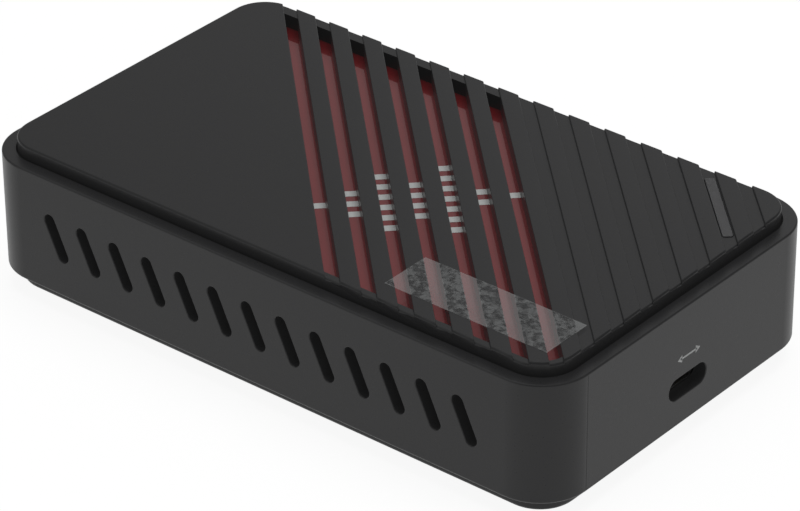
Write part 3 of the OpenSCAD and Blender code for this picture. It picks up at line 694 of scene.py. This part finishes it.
class CAPTURE_BOX_OT_stage(bpy.types.Operator):
    """Floor, light from the room, overhead lamp and camera"""

    bl_idname = "capture_box.stage"
    bl_label = "Stage"
    # Places and sizes in metres
    floor_size = 6.0
    lamp_place = (0.1, 0.1, 1.2)
    lamp_size = 0.8
    clip_start = 0.01
    # Width of the camera's sensor in millimetres
    sensor_width = 36
    # Share of the shaded paper in the floor that is seen, which keeps the shadow faint
    shadow_share = 0.15

    def execute(self, context):
        stage = context.scene.capture_box.stage
        scene = context.scene
        scene.view_settings.view_transform = "Standard"
        self.add_floor(scene, stage)
        self.add_room(scene, stage)
        self.add_lamp(scene, stage)
        self.add_camera(scene, stage)
        return {"FINISHED"}

    def add_lamp(self, scene, stage):
        """Wide overhead lamp, which doesn't show in the gloss."""
        lamp = bpy.data.lights.new("overhead_lamp", "AREA")
        lamp.size = self.lamp_size
        lamp.energy = stage.lamp_power
        light = bpy.data.objects.new("overhead_lamp", lamp)
        light.location = self.lamp_place
        light.rotation_euler = Vector(self.lamp_place).to_track_quat("Z", "Y").to_euler()
        light.visible_glossy = False
        scene.collection.objects.link(light)

    def add_floor(self, scene, stage):
        """White floor that keeps a faint shadow."""
        bm = bmesh.new()
        bmesh.ops.create_grid(bm, x_segments=1, y_segments=1, size=self.floor_size / 2)
        mesh = bpy.data.meshes.new("studio_floor")
        bm.to_mesh(mesh)
        bm.free()
        paper = bpy.data.materials.new("white_paper")
        paper.use_nodes = True
        paper.node_tree.nodes.clear()
        plain = add_node(paper, "ShaderNodeBsdfDiffuse", {"Color": stage.paper_colour})
        path = add_node(paper, "ShaderNodeLightPath")
        glow = add_node(
            paper, "ShaderNodeMapRange", {"To Min": stage.floor_gloss, "To Max": stage.floor_white},
            {"Value": path.outputs["Is Camera Ray"]})
        white = add_node(
            paper, "ShaderNodeEmission", {"Color": stage.floor_colour}, {"Strength": glow.outputs["Result"]})
        seen = add_node(
            paper, "ShaderNodeMixShader", {"Fac": self.shadow_share},
            {1: white.outputs[0], 2: plain.outputs[0]})
        shiny = add_node(
            paper, "ShaderNodeMath",
            links={0: path.outputs["Is Camera Ray"], 1: path.outputs["Is Glossy Ray"]},
            operation="MAXIMUM")
        direct = add_node(
            paper, "ShaderNodeMath", links={0: shiny.outputs[0], 1: path.outputs["Is Transmission Ray"]},
            operation="MAXIMUM")
        both = add_node(
            paper, "ShaderNodeMixShader",
            links={0: direct.outputs[0], 1: plain.outputs[0], 2: seen.outputs[0]})
        add_node(paper, "ShaderNodeOutputMaterial", links={"Surface": both.outputs[0]})
        mesh.materials.append(paper)
        floor = bpy.data.objects.new("studio_floor", mesh)
        scene.collection.objects.link(floor)

    def add_room(self, scene, stage):
        """Soft light from the room, with a dim band half way up, dimmer to the left and beyond the end."""
        world = bpy.data.worlds.new("studio_room")
        scene.world = world
        world.use_nodes = True
        place = add_node(world, "ShaderNodeTexCoord")
        split = add_node(world, "ShaderNodeSeparateXYZ", links={"Vector": place.outputs["Generated"]})
        # Each fade's name, its axis, where it starts and ends on a unit direction, and its values there
        fades = {}
        for name, axis, start, end, before, after in (
                ("band", "Z", 0.45, 0.56, stage.room_low, stage.room_high),
                ("overhead", "Z", 0.57, 0.7, 0, stage.room_top),
                ("left", "X", -0.68, -0.44, stage.room_left, stage.room_right),
                ("port_end", "X", -0.36, -0.2, 1, stage.room_end)):
            fade = add_node(
                world, "ShaderNodeMapRange",
                {"From Min": start, "From Max": end, "To Min": before, "To Max": after},
                {"Value": split.outputs[axis]})
            fades[name] = fade.outputs["Result"]
        height = add_node(
            world, "ShaderNodeMath", links={0: fades["band"], 1: fades["overhead"]}, operation="ADD")
        sides = add_node(
            world, "ShaderNodeMath", links={0: fades["left"], 1: fades["port_end"]}, operation="MULTIPLY")
        strength = add_node(
            world, "ShaderNodeMath", links={0: height.outputs[0], 1: sides.outputs[0]}, operation="MULTIPLY")
        background = world.node_tree.nodes["Background"]
        background.inputs["Color"].default_value = WHITE
        world.node_tree.links.new(strength.outputs[0], background.inputs["Strength"])

    def add_camera(self, scene, stage):
        """Camera at the photograph's angle."""
        turn = (
            Matrix.Rotation(stage.azimuth, 4, "Z")
            @ Matrix.Rotation(math.pi / 2 - stage.elevation, 4, "X")
            @ Matrix.Rotation(stage.roll, 4, "Z"))
        target = Vector((stage.target_x, stage.target_y, stage.target_z))
        lens = bpy.data.cameras.new("camera")
        lens.lens = stage.lens
        lens.sensor_fit = "HORIZONTAL"
        lens.sensor_width = self.sensor_width
        lens.clip_start = self.clip_start
        camera = bpy.data.objects.new("camera", lens)
        camera.matrix_world = Matrix.Translation(target + turn.col[2].to_3d() * stage.distance) @ turn
        scene.collection.objects.link(camera)
        scene.camera = camera


OPERATORS = (
    CAPTURE_BOX_OT_case_walls, CAPTURE_BOX_OT_ribbed_cover, CAPTURE_BOX_OT_accent_panel,
    CAPTURE_BOX_OT_light_pipe, CAPTURE_BOX_OT_clear_film, CAPTURE_BOX_OT_base_and_feet,
    CAPTURE_BOX_OT_screws, CAPTURE_BOX_OT_ports, CAPTURE_BOX_OT_board, CAPTURE_BOX_OT_port_mark,
    CAPTURE_BOX_OT_stage,
)


class CAPTURE_BOX_PT_sidebar(bpy.types.Panel):
    """Steps that dress the box"""

    bl_idname = "CAPTURE_BOX_PT_sidebar"
    bl_label = "Capture Box"
    bl_space_type = "VIEW_3D"
    bl_region_type = "UI"
    bl_category = "Capture Box"

    def draw(self, context):
        for operator in OPERATORS:
            self.layout.operator(operator.bl_idname)


CLASSES = (
    CaseSettings, PanelSettings, StageSettings, CaptureBoxSettings, *OPERATORS, CAPTURE_BOX_PT_sidebar,
)


def register():
    """Registers the classes and the scene's settings."""
    for item in CLASSES:
        bpy.utils.register_class(item)
    bpy.types.Scene.capture_box = bpy.props.PointerProperty(
        type=CaptureBoxSettings, name="Capture box",
        description="Sizes and colours of the box and its studio")


def unregister():
    """Removes the scene's settings and the classes."""
    del bpy.types.Scene.capture_box
    for item in reversed(CLASSES):
        bpy.utils.unregister_class(item)


def main():
    """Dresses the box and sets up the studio."""
    register()
    for operator in OPERATORS:
        group, name = operator.bl_idname.split(".")
        getattr(getattr(bpy.ops, group), name)()


if __name__ == "__main__":
    main()
